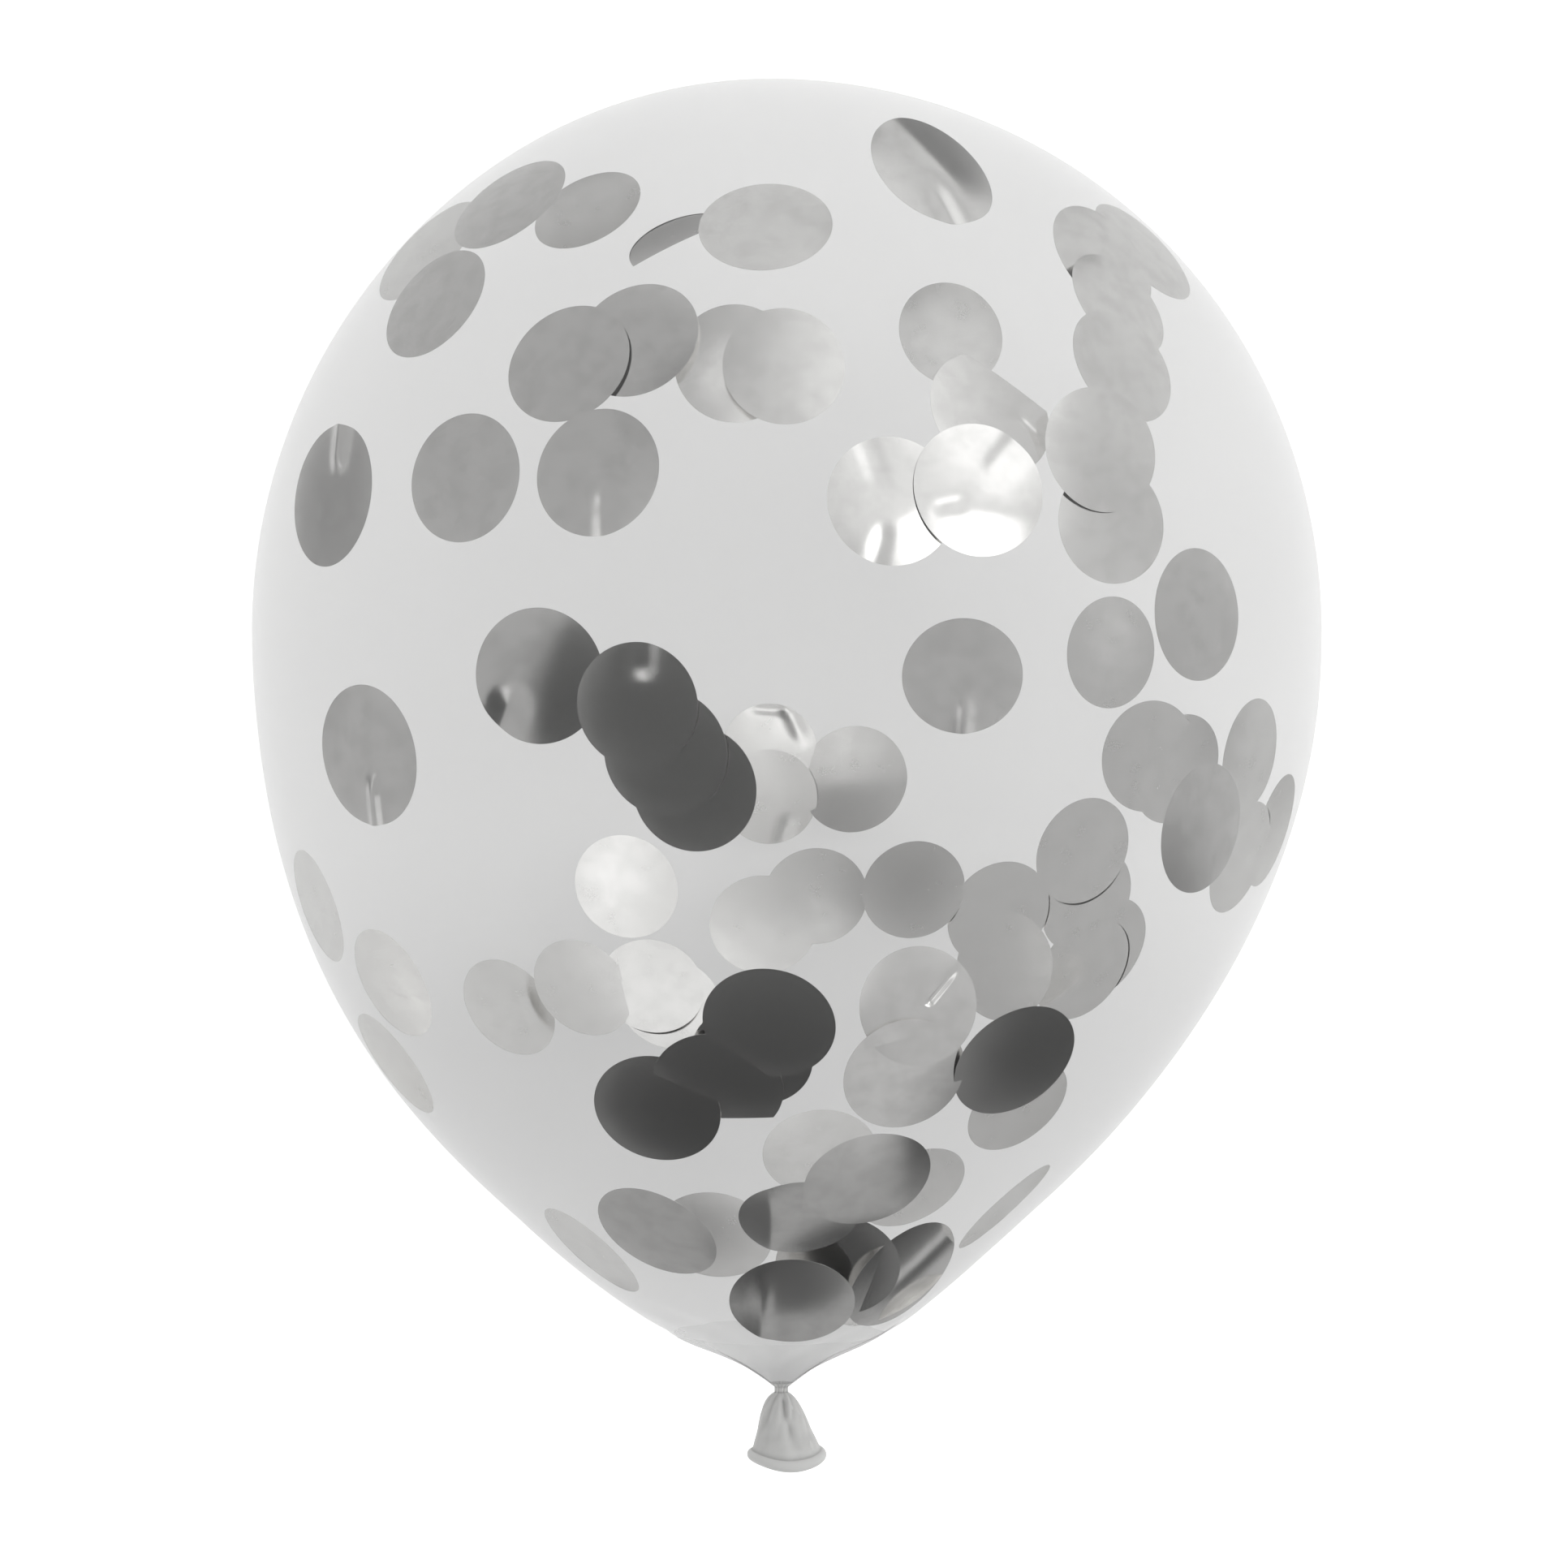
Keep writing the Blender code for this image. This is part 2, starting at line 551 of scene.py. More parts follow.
@dataclass(frozen=True)
class TailFold:
    """A fold that runs down the tail. Places along it are shares of the tail's length from the waist.

    Attributes:
        depth: How far it sinks in, in metres.
        middle: Its direction round the long axis at the waist, in degrees.
        lean: How far that direction turns over the tail's length, in degrees.
        width: Its width round the axis, in radians.
        grows: Where it begins and where it is full.
        fades: Where it begins to fade and where it ends.
    """

    depth: float
    middle: float
    lean: float
    width: float
    grows: tuple[float, float]
    fades: tuple[float, float]

    def sink(self, down: float, angle: float) -> float:
        """How far the latex sinks in at a point.

        Args:
            down: The point's place down the tail.
            angle: Its direction round the long axis, in radians.

        Returns:
            The depth in metres.
        """
        aside = angle - math.radians(self.middle + self.lean * down)
        along = smooth_step(down, *self.grows) * smooth_step(down, *reversed(self.fades))
        return self.depth * bell(aside, self.width) * along


@dataclass
class BalloonSkin:
    """The balloon's one piece of latex: body, tied waist, tail, rolled lip and open mouth.

    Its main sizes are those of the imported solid, and heights run from the widest ring. The rest is what the
    solid leaves out: the gathers at the waist, the folds of the tail and the uneven lip. Drops are shares of
    the drop to the waist. A pleat or a wave of the lip is how many go round, how deep each is, and its turn.
    """

    body_width: float = 0.280
    crown_height: float = 0.1445
    waist_drop: float = 0.1985
    waist_width: float = 0.0034
    waist_length: float = 0.0014
    tail_length: float = 0.0180
    lip_width: float = 0.0209
    lip_bead: float = 0.0028
    tail_wall: float = 0.0006
    tail_flattening: float = 0.80
    lip_slant: float = 0.22
    rest_patch_depth: float = 0.0020
    patch_edge_round: float = 0.0006
    flank_curve: tuple[tuple[float, float], ...] = ((1.0, 0.0), (1.0, 0.458), (0.586, 0.701), (0.476, 0.773))
    neck_handles: tuple[tuple[float, float], ...] = ((0.163, 0.980), (0.155, 0.919))
    tail_handles: tuple[tuple[float, float], ...] = ((0.54, 0.10), (0.62, 0.40))
    crown_sway: float = -0.0037
    crown_sway_power: int = 6
    flank_sway: float = -0.0040
    flank_sway_drops: tuple[float, float] = (0.07, 0.65)
    waist_sway: float = -0.0015
    waist_sway_drops: tuple[float, float] = (0.80, 1.0)
    gather_above: float = 0.026
    gather_below: float = 0.004
    gather_depth: float = 0.055
    tail_gather_depth: float = 0.050
    pleat_twist: float = 60.0
    pleats: tuple[tuple[int, float, float], ...] = ((9, 1.0, 0.4), (14, 0.6, 2.1), (5, 0.5, 1.1))
    tail_folds: tuple[TailFold, ...] = (
        TailFold(0.0011, middle=86.0, lean=-22.0, width=0.20, grows=(-0.1, 0.15), fades=(0.45, 0.95)),
        TailFold(0.0005, middle=128.0, lean=8.0, width=0.24, grows=(0.1, 0.5), fades=(0.6, 0.90)))
    full_fold_radius: float = 0.004
    lip_waves: tuple[tuple[int, float, float], ...] = ((2, 0.0004, 0.9), (3, 0.0002, -math.pi / 2))
    lip_wave_reach: float = 0.008
    patch_edge_reach: float = 0.010
    around: int = 192
    crown_steps: int = 64
    flank_steps: int = 64
    neck_steps: int = 44
    tail_steps: int = 44
    bead_steps: int = 22
    waist_steps: int = 3
    mouth_depth_past_waist: float = 0.002
    neck_start_drop: float = 0.93
    # Both films darken along Y towards the neck with painted shade.
    film: FilmFinish = FilmFinish(
        "clear_film", tint=(0.30, 0.30, 0.298), shade_and_cloud_tint=(0.03, 0.03, 0.03), shade_from=-0.010,
        shade_to=-0.085, alpha=0.265, roughness=0.22, sheen_level=0.14)
    neck_film: FilmFinish = FilmFinish(
        "clear_neck", tint=(0.37, 0.37, 0.367), shade_and_cloud_tint=(0.06, 0.06, 0.06), shade_from=-0.147,
        shade_to=-0.160, alpha=0.40, roughness=0.30, sheen_level=0.2)
    # The tail's fold colour is painted shade in its hollows.
    tail: TailFinish = TailFinish(
        "clouded_tail", tint=(0.72, 0.72, 0.712), fold_shade_tint=(0.42, 0.42, 0.416), alpha=0.84)

    def __post_init__(self) -> None:
        """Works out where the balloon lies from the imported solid's box."""
        low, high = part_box("balloon")
        self.ring_along = high[1] - self.crown_height
        self.axis_height = self.body_width / 2 - self.rest_patch_depth
        self.middle_across = (low[0] + high[0]) / 2
        self.waist_end = self.waist_drop + self.waist_length
        self.lip_end = self.waist_end + self.tail_length
        self.throat = self.lip_width / 2 - self.lip_bead / 2
        self.across_shift = 0.0

    @staticmethod
    def bezier(corners: Sequence[Sequence[float]], steps: int) -> list[Vector]:
        """Points along a cubic curve after its first corner.

        Args:
            corners: The curve's start, its two handles and its end, as (radius, height).
            steps: How many points it gets.

        Returns:
            The points.
        """
        start, leave, arrive, end = (Vector(corner) for corner in corners)
        points = []
        for step in range(1, steps + 1):
            t = step / steps
            u = 1 - t
            points.append(start * u**3 + leave * 3 * u * u * t + arrive * 3 * u * t * t + end * t**3)
        return points

    def body_outline(self) -> list[Vector]:
        """The outline from just below the crown's tip to the waist.

        Returns:
            Its points, as (radius, height).
        """
        radius = self.body_width / 2
        points = []
        for step in range(1, self.crown_steps + 1):
            angle = math.pi / 2 * (1 - step / self.crown_steps)
            points.append(Vector((radius * math.cos(angle), self.crown_height * math.sin(angle))))
        flank = [(r * radius, -drop * self.waist_drop) for r, drop in self.flank_curve]
        points += self.bezier(flank, self.flank_steps)
        handles = [(r * radius, -drop * self.waist_drop) for r, drop in self.neck_handles]
        waist = (self.waist_width / 2, -self.waist_drop)
        points += self.bezier([flank[-1], *handles, waist], self.neck_steps)
        for step in range(1, self.waist_steps + 1):
            drop = self.waist_drop + self.waist_length * step / self.waist_steps
            points.append(Vector((self.waist_width / 2, -drop)))
        return points

    def tail_outline(self) -> list[Vector]:
        """The outline from the waist's lower end to the throat above the lip.

        Returns:
            Its points, as (radius, height).
        """
        length = self.tail_length - self.lip_bead
        handles = [(r * self.throat, -self.waist_end - along * length) for r, along in self.tail_handles]
        start = (self.waist_width / 2, -self.waist_end)
        return self.bezier([start, *handles, (self.throat, -self.waist_end - length)], self.tail_steps)

    def lip_outline(self) -> list[Vector]:
        """The rolled lip, from the outside of the throat round under to the inside.

        Returns:
            Its points, as (radius, height).
        """
        bead = self.lip_bead / 2
        middle = Vector((self.throat, bead - self.lip_end))
        points = []
        for step in range(1, self.bead_steps):
            angle = math.pi / 2 - 2 * math.pi * step / self.bead_steps
            points.append(middle + bead * Vector((math.cos(angle), math.sin(angle))))
        return points

    def mouth_outline(self, outer: list[Vector]) -> list[Vector]:
        """The open mouth's wall, one latex thickness inside the tail, up to near its blind end."""
        inner = [Vector((point.x - self.tail_wall, point.y)) for point in reversed(outer[1:])]
        return [point for point in inner if point.x > self.tail_wall]

    def sway_at(self, height: float) -> float:
        """How far the long axis stands to one side.

        Args:
            height: The height from the widest ring.

        Returns:
            The distance towards +X.
        """
        if height >= 0:
            return self.crown_sway * (height / self.crown_height) ** self.crown_sway_power
        drop = -height / self.waist_drop
        to_flank = self.flank_sway * smooth_step(drop, *self.flank_sway_drops)
        to_waist = (self.waist_sway - self.flank_sway) * smooth_step(drop, *self.waist_sway_drops)
        to_lip = -self.waist_sway * smooth_step(-height, self.waist_end, self.lip_end)
        return to_flank + to_waist + to_lip

    def gathers(self, height: float, angle: float) -> float:
        """How much the latex is drawn in or out where it is gathered.

        Args:
            height: The height from the widest ring.
            angle: The direction round the long axis, 0 at +X and a quarter turn at the top.

        Returns:
            A factor on the radius.
        """
        if -height < self.waist_drop:
            depth = self.gather_depth
            share = smooth_step(-height, self.waist_drop - self.gather_above, self.waist_drop)
        else:
            depth = self.tail_gather_depth
            share = smooth_step(-height, self.lip_end - self.gather_below, self.waist_end)
        if share <= 0:
            return 1.0
        turn = angle + self.pleat_twist * (height + self.waist_drop)
        pleats = sum(deep * math.sin(count * turn + start) for count, deep, start in self.pleats)
        return 1.0 + depth * share * pleats

    def fold_depth(self, height: float, angle: float) -> float:
        """How far the tail's folds sink in at this height and direction, in metres."""
        down = (-height - self.waist_end) / self.tail_length
        return sum(fold.sink(down, angle) for fold in self.tail_folds)

    def lip_wave(self, height: float, angle: float) -> float:
        """How far the lip stands up or down along Y where it is uneven, in metres."""
        share = smooth_step(-height, self.lip_end - self.lip_wave_reach, self.lip_end)
        return share * sum(high * math.cos(count * angle + start) for count, high, start in self.lip_waves)

    def at(self, point: Vector, angle: float) -> Vector:
        """One point of the skin.

        Args:
            point: The outline's (radius, height).
            angle: The direction round the long axis.

        Returns:
            The point in the frame.
        """
        radius, height = point
        share = smooth_step(-height, self.waist_drop, self.lip_end)
        fold = self.fold_depth(height, angle) * min(1.0, radius / self.full_fold_radius)
        radius = radius * self.gathers(height, angle) - fold
        across = self.middle_across + self.sway_at(height) + radius * math.cos(angle)
        up = radius * math.sin(angle) * (1 - (1 - self.tail_flattening) * share)
        along = self.ring_along + height - self.lip_slant * share * up + self.lip_wave(height, angle)
        level = self.axis_height + up
        rounding = self.patch_edge_round**2 * bell(level, self.patch_edge_reach)
        resting = (level + math.sqrt(level * level + 4 * rounding)) / 2
        return Vector((across + self.across_shift, along, max(resting, level)))

    def centre(self, body: list[Vector]) -> None:
        """Moves the skin across so that its middle is over the solid's.

        Args:
            body: The body's outline.
        """
        sides = [self.at(point, turn).x for point in body for turn in (0.0, math.pi)]
        self.across_shift = self.middle_across - (min(sides) + max(sides)) / 2

    def build(self) -> bpy.types.Object:
        """Builds the skin's mesh and dresses it.

        Returns:
            The skin, which stands for the solid balloon.
        """
        body = self.body_outline()
        self.centre(body)
        tail = self.tail_outline()
        outline = body + tail + self.lip_outline() + self.mouth_outline(tail)
        angles = [2 * math.pi * step / self.around for step in range(self.around)]

        mesh = bmesh.new()
        tip = mesh.verts.new(self.at(Vector((0.0, self.crown_height)), 0.0))
        rings = [[mesh.verts.new(self.at(point, turn)) for turn in angles] for point in outline]
        blind = mesh.verts.new(self.at(Vector((0.0, -self.waist_end - self.mouth_depth_past_waist)), 0.0))
        materials = [self.latex_at(point.y) for point in outline]
        for step in range(self.around):
            after = (step + 1) % self.around
            mesh.faces.new((tip, rings[0][after], rings[0][step]))
            for upper, lower, index in zip(rings, rings[1:], materials[1:]):
                face = mesh.faces.new((upper[step], upper[after], lower[after], lower[step]))
                face.material_index = index
            mesh.faces.new((rings[-1][step], rings[-1][after], blind)).material_index = Latex.TAIL
        bmesh.ops.recalc_face_normals(mesh, faces=mesh.faces)
        skin = add_piece("latex_skin", mesh)
        for finish in (self.film, self.neck_film, self.tail):
            skin.data.materials.append(finish.material())
        return skin

    def latex_at(self, height: float) -> Latex:
        """Which of the latex finishes the skin has.

        Args:
            height: The height from the widest ring.

        Returns:
            The finish's slot.
        """
        if -height > self.waist_drop:
            return Latex.TAIL
        return Latex.NECK if -height > self.neck_start_drop * self.waist_drop else Latex.BODY


def add_piece(name: str, mesh: bmesh.types.BMesh) -> bpy.types.Object:
    """Puts a finished mesh in the scene, shaded smooth.

    Args:
        name: The piece's name.
        mesh: Its mesh, which is freed.

    Returns:
        The piece.
    """
    data = bpy.data.meshes.new(name)
    mesh.to_mesh(data)
    mesh.free()
    data.shade_smooth()
    piece = bpy.data.objects.new(name, data)
    bpy.context.scene.collection.objects.link(piece)
    return piece


class Wall(Enum):
    """The wall that a disc clings to, as the photograph sees it."""

    NEAR = "near"
    FAR = "far"


@dataclass(frozen=True)
class Crease:
    """A straight dent in a disc. Places and widths are shares of the disc's radius, +x right and +y up.

    Attributes:
        start: Where it begins.
        end: Where it ends.
        width: Its width.
        depth: How deep it is in millimetres, away from the wall, or below 0 towards it.
        early: How many widths before its start it begins to sink.
        full_share: Where along its length it is full.
        late: How many widths past its end it has faded out.
    """

    start: tuple[float, float]
    end: tuple[float, float]
    width: float
    depth: float
    early: float = 0.5
    full_share: float = 0.45
    late: float = 2.0

    def sink(self, x: float, y: float) -> float:
        """How deep the dent is at a point.

        Args:
            x: The point's place to the right.
            y: The point's place up.

        Returns:
            The depth in millimetres.
        """
        run_x, run_y = self.end[0] - self.start[0], self.end[1] - self.start[1]
        length = math.hypot(run_x, run_y)
        along = ((x - self.start[0]) * run_x + (y - self.start[1]) * run_y) / length
        aside = ((x - self.start[0]) * run_y - (y - self.start[1]) * run_x) / length
        fade = smooth_step(along, -self.early * self.width, self.full_share * length)
        fade *= smooth_step(along, length + self.late * self.width, length)
        return self.depth * bell(aside, self.width) * fade


@dataclass(frozen=True)
class Curl:
    """An edge of a disc that curls away from the wall, or towards it.

    Attributes:
        toward: The direction of the edge, in degrees.
        start: Where it starts to curl, as a share of the radius.
        height: How far the edge stands away in millimetres, or below 0 towards the wall.
    """

    toward: float
    start: float
    height: float

    def sink(self, x: float, y: float) -> float:
        """How far the foil stands off at a point.

        Args:
            x: The point's place to the right.
            y: The point's place up.

        Returns:
            The distance in millimetres.
        """
        turn = math.radians(self.toward)
        beyond = max(0.0, x * math.cos(turn) + y * math.sin(turn) - self.start)
        return self.height * (beyond / (1 - self.start)) ** 2


@dataclass(frozen=True)
class Bend:
    """A soft hinge across a disc. What lies beyond it, towards a direction in degrees, tips off the wall.

    Attributes:
        toward: The direction.
        start: The hinge's distance from the disc's middle, as a share of the radius.
        slope: How far it tips, in degrees.
        softness: How wide the hinge is, as a share of the radius.
    """

    toward: float
    start: float
    slope: float
    softness: float

    def sink(self, x: float, y: float) -> float:
        """How far the foil stands off at a point.

        Args:
            x: The point's place to the right.
            y: The point's place up.

        Returns:
            The distance in millimetres.
        """
        turn = math.radians(self.toward)
        beyond = x * math.cos(turn) + y * math.sin(turn) - self.start
        eased = 0.5 * (beyond + math.hypot(beyond, self.softness))
        return DISC_RADIUS_MM * math.tan(math.radians(self.slope)) * eased


@dataclass(frozen=True)
class Fold:
    """A straight fold. What lies beyond it, towards a direction in degrees, is turned back underneath.

    Attributes:
        toward: The direction.
        start: The fold's distance from the disc's middle, as a share of the radius.
        gap: How far apart the foil's two layers are, in millimetres.
        turn_share: How far past the fold the gap is full, as a share of the radius.
    """

    toward: float
    start: float
    gap: float = 0.35
    turn_share: float = 0.12


@dataclass(frozen=True)
class Disc:
    """One confetti disc.

    Attributes:
        seen_at: The pixel of the photograph at which its middle is seen.
        long: How many pixels long it is seen.
        wall: The wall that it clings to.
        layer: How many discs lie between it and the wall.
        tip: Its seen width across and the direction of its length in degrees, where it is tipped off the
            wall. A disc that isn't tipped lies against the wall.
        marks: Its creases, curls and bends.
        fold: Where it is folded, if it is.
        nudge: How far it is turned off that, to face more towards +X and towards +Y, in degrees.
    """

    seen_at: tuple[float, float]
    long: float = 160.0
    wall: Wall = Wall.NEAR
    layer: int = 0
    tip: tuple[float, float] | None = None
    marks: tuple[Crease | Curl | Bend, ...] = ()
    fold: Fold | None = None
    nudge: tuple[float, float] = (0.0, 0.0)


@dataclass
class Confetti:
    """The silver foil discs that cling to the inside of the skin.

    Attributes:
        skin: The balloon's skin.
        view: Where the discs' places are seen from.
        foil_thickness: How thick the foil is.
        wall_gap: How far the nearest part of a disc stays inside the skin.
        layer_gap: How much more that is for each disc underneath.
        wall_radius: The skin's radius, which a disc bends to.
        give: How much of the wall's curve a disc takes up.
        ripple: How high a disc's own unevenness is, in millimetres.
        ripple_scale: How many of its waves there are to a radius.
        plain_grid: The rings and sectors of a smooth disc.
        marked_grid: The rings and sectors of a disc with marks or a fold.
        settle_rounds: How many steps a disc takes to settle.
        settle_pace: How much of what is missing each step makes up.
        steepest_share: The least share of a sight that is counted as going through the wall.
        longest_travel: How far a disc may go along its line of sight.
        step_past_wall: How far past a wall the sight goes on.
        sharp_angle: The sharpest edge that is shaded smooth, in degrees.
        foil: The finish of the discs on the near wall.
        far_wall_foil: The finish of the discs on the far wall: paler and rougher, its paler silver being
            painted haze for the light that the near film scatters.
    """

    skin: bpy.types.Object
    view: PhotoView
    foil_thickness: float = 0.00005
    wall_gap: float = 0.0003
    layer_gap: float = 0.00035
    wall_radius: float = 0.140
    give: float = 0.85
    ripple: float = 0.04
    ripple_scale: float = 1.3
    plain_grid: tuple[int, int] = (10, 72)
    marked_grid: tuple[int, int] = (26, 168)
    settle_rounds: int = 16
    settle_pace: float = 0.7
    steepest_share: float = 0.2
    longest_travel: float = 0.022
    step_past_wall: float = 0.001
    sharp_angle: float = 40.0
    foil: FoilFinish = FoilFinish("silver_foil")
    # The far discs' paler silver is painted haze, for the light scattered by the film between them and the
    # camera.
    far_wall_foil: FoilFinish = FoilFinish("painted_haze_silver_foil", silver=(0.97, 0.965, 0.955),
                                         dull_silver=(0.92, 0.915, 0.905), roughness=0.25)

    def __post_init__(self) -> None:
        """Makes the tree of the skin's faces that lines of sight are cast at."""
        bpy.context.view_layer.update()
        graph = bpy.context.evaluated_depsgraph_get()
        self.wall_tree = BVHTree.FromObject(self.skin, graph)
        self.materials = {Wall.NEAR: self.foil.material(), Wall.FAR: self.far_wall_foil.material()}

    def wall_point(self, disc: Disc) -> tuple[Vector, Vector]:
        """Where the sight of a disc's middle meets its wall.

        Args:
            disc: The disc.

        Returns:
            The point, and the wall's normal there on the side of the camera.
        """
        sight = self.view.sight(disc.seen_at)
        start = Vector(self.view.eye)
        hits = []
        while True:
            point, normal, _, _ = self.wall_tree.ray_cast(start, sight)
            if point is None:
                break
            hits.append((point, normal if normal.dot(sight) < 0 else -normal))
            start = point + sight * self.step_past_wall
        return hits[0] if disc.wall is Wall.NEAR else hits[-1]

    def facing(self, disc: Disc, wall_normal: Vector) -> Vector:
        """The direction that a disc faces, on the side of the camera.

        Args:
            disc: The disc.
            wall_normal: The wall's normal on that side.

        Returns:
            The disc's normal.
        """
        if disc.tip is None:
            return self.nudged(disc, wall_normal)
        across, lean = disc.tip
        sight = self.view.sight(disc.seen_at)
        turn = math.radians(lean)
        aside = Vector((-math.sin(turn), math.cos(turn), 0.0))
        aside = (aside - sight * aside.dot(sight)).normalized()
        if aside.dot(wall_normal) < 0:
            aside = -aside
        share = min(1.0, across / disc.long)
        return self.nudged(disc, (-sight * share + aside * math.sqrt(1 - share * share)).normalized())

    @staticmethod
    def nudged(disc: Disc, normal: Vector) -> Vector:
        """A disc's normal, turned by its nudge."""
        east, north = (math.tan(math.radians(angle)) for angle in disc.nudge)
        return (normal + Vector((east, north, 0.0))).normalized()

    def flat_disc(self, disc: Disc) -> bmesh.types.BMesh:
        """A flat disc of radius 1 with the fineness that its marks need, cut along its fold.

        Args:
            disc: The disc.

        Returns:
            Its mesh.
        """
        rings, sectors = self.marked_grid if disc.marks or disc.fold else self.plain_grid
        mesh = bmesh.new()
        middle = mesh.verts.new((0.0, 0.0, 0.0))
        turns = [2 * math.pi * step / sectors for step in range(sectors)]
        shells = []
        for ring in range(1, rings + 1):
            radius = ring / rings
            shells.append([mesh.verts.new((radius * math.cos(t), radius * math.sin(t), 0.0)) for t in turns])
        for step in range(sectors):
            after = (step + 1) % sectors
            mesh.faces.new((middle, shells[0][step], shells[0][after]))
            for inner, outer in zip(shells, shells[1:]):
                mesh.faces.new((inner[step], outer[step], outer[after], inner[after]))
        if disc.fold:
            turn = math.radians(disc.fold.toward)
            normal = Vector((math.cos(turn), math.sin(turn), 0.0))
            geometry = mesh.verts[:] + mesh.edges[:] + mesh.faces[:]
            bmesh.ops.bisect_plane(mesh, geom=geometry, plane_co=normal * disc.fold.start, plane_no=normal)
        return mesh

    def folded(self, disc: Disc, x: float, y: float) -> tuple[float, float, float]:
        """Where a point of the flat disc goes when the disc is folded.

        Args:
            disc: The disc.
            x: The point's place to the right.
            y: The point's place up.

        Returns:
            The new x and y, and how far the foil is turned under, in millimetres.
        """
        if not disc.fold:
            return x, y, 0.0
        turn = math.radians(disc.fold.toward)
        beyond = x * math.cos(turn) + y * math.sin(turn) - disc.fold.start
        if beyond <= 0:
            return x, y, 0.0
        under = disc.fold.gap * smooth_step(beyond, 0.0, disc.fold.turn_share)
        return x - 2 * beyond * math.cos(turn), y - 2 * beyond * math.sin(turn), under

    def shape(self, disc: Disc, mesh: bmesh.types.BMesh, radius: float, normal: Vector) -> None:
        """Bends a flat disc and turns it to face its way, about the origin.

        Args:
            disc: The disc.
            mesh: Its flat mesh.
            radius: Its radius in metres.
            normal: The direction it faces.
        """
        right = Vector((1.0, 0.0, 0.0))
        right = (right - normal * right.dot(normal)).normalized()
        up = normal.cross(right)
        inward = -1.0 if disc.wall is Wall.NEAR else 1.0
        seed = Vector((disc.seen_at[0], disc.seen_at[1], 0.0))
        for vertex in mesh.verts:
            x, y, under = self.folded(disc, vertex.co.x, vertex.co.y)
            bend = self.give * (x * x + y * y) * radius * radius / (2 * self.wall_radius)
            marks = sum(mark.sink(x, y) for mark in disc.marks)
            ripple = self.ripple * noise.noise(Vector((x, y, 0.0)) * self.ripple_scale + seed)
            rise = inward * (bend + (marks + ripple) * MILLIMETRE) - under * MILLIMETRE
            vertex.co = right * (x * radius) + up * (y * radius) + normal * rise

    def settle(self, disc: Disc, mesh: bmesh.types.BMesh, start: Vector, wall_normal: Vector) -> None:
        """Moves a disc along its line of sight until it just touches its wall from inside.

        Args:
            disc: The disc.
            mesh: Its shaped mesh, about the origin.
            start: Where the line of sight meets the wall.
            wall_normal: The wall's normal there, on the side of the camera.
        """
        sight = self.view.sight(disc.seen_at)
        away = sight if disc.wall is Wall.NEAR else -sight
        slope = max(self.steepest_share, abs(sight.dot(wall_normal)))
        clearance = self.wall_gap + disc.layer * self.layer_gap
        rim = [vertex.co.copy() for vertex in mesh.verts if vertex.is_boundary or disc.marks]
        travel = 0.0
        for _ in range(self.settle_rounds):
            shortfall = clearance - self.least_depth(rim, start + away * travel)
            travel += self.settle_pace * shortfall / slope
            travel = min(self.longest_travel, max(0.0, travel))
        place = start + away * travel
        inward = -wall_normal if disc.wall is Wall.NEAR else wall_normal
        for _ in range(self.settle_rounds):
            place += inward * max(0.0, clearance - self.least_depth(rim, place))
        bmesh.ops.translate(mesh, vec=place, verts=mesh.verts)

    def least_depth(self, corners: list[Vector], place: Vector) -> float:
        """How far inside the skin the outermost of a disc's corners is.

        Args:
            corners: The corners, about the disc's middle.
            place: Where its middle is.

        Returns:
            The distance, below 0 where a corner is outside.
        """
        depths = []
        for corner in corners:
            nearest, out, _, _ = self.wall_tree.find_nearest(corner + place)
            depths.append((nearest - corner - place).dot(out))
        return min(depths)

    def build_disc(self, name: str, disc: Disc) -> bpy.types.Object:
        """Builds one disc, laid against its wall.

        Args:
            name: The piece's name.
            disc: The disc.

        Returns:
            The disc's piece.
        """
        point, wall_normal = self.wall_point(disc)
        radius = 0.5 * self.view.real_length(disc.long, point)
        normal = self.facing(disc, wall_normal)
        mesh = self.flat_disc(disc)
        self.shape(disc, mesh, radius, normal)
        self.settle(disc, mesh, point, wall_normal)
        backed = bmesh.ops.extrude_face_region(mesh, geom=mesh.faces[:], use_keep_orig=True)
        back = [item for item in backed["geom"] if isinstance(item, bmesh.types.BMVert)]
        bmesh.ops.translate(mesh, vec=-normal * self.foil_thickness, verts=back)
        bmesh.ops.recalc_face_normals(mesh, faces=mesh.faces)
        piece = add_piece(name, mesh)
        piece.data.set_sharp_from_angle(angle=math.radians(self.sharp_angle))
        piece.data.materials.append(self.materials[disc.wall])
        return piece

    def build(self, discs: dict[str, Disc]) -> list[bpy.types.Object]:
        """Builds every disc.

        Args:
            discs: The discs by name.

        Returns:
            Their pieces.
        """
        return [self.build_disc(name, disc) for name, disc in discs.items()]


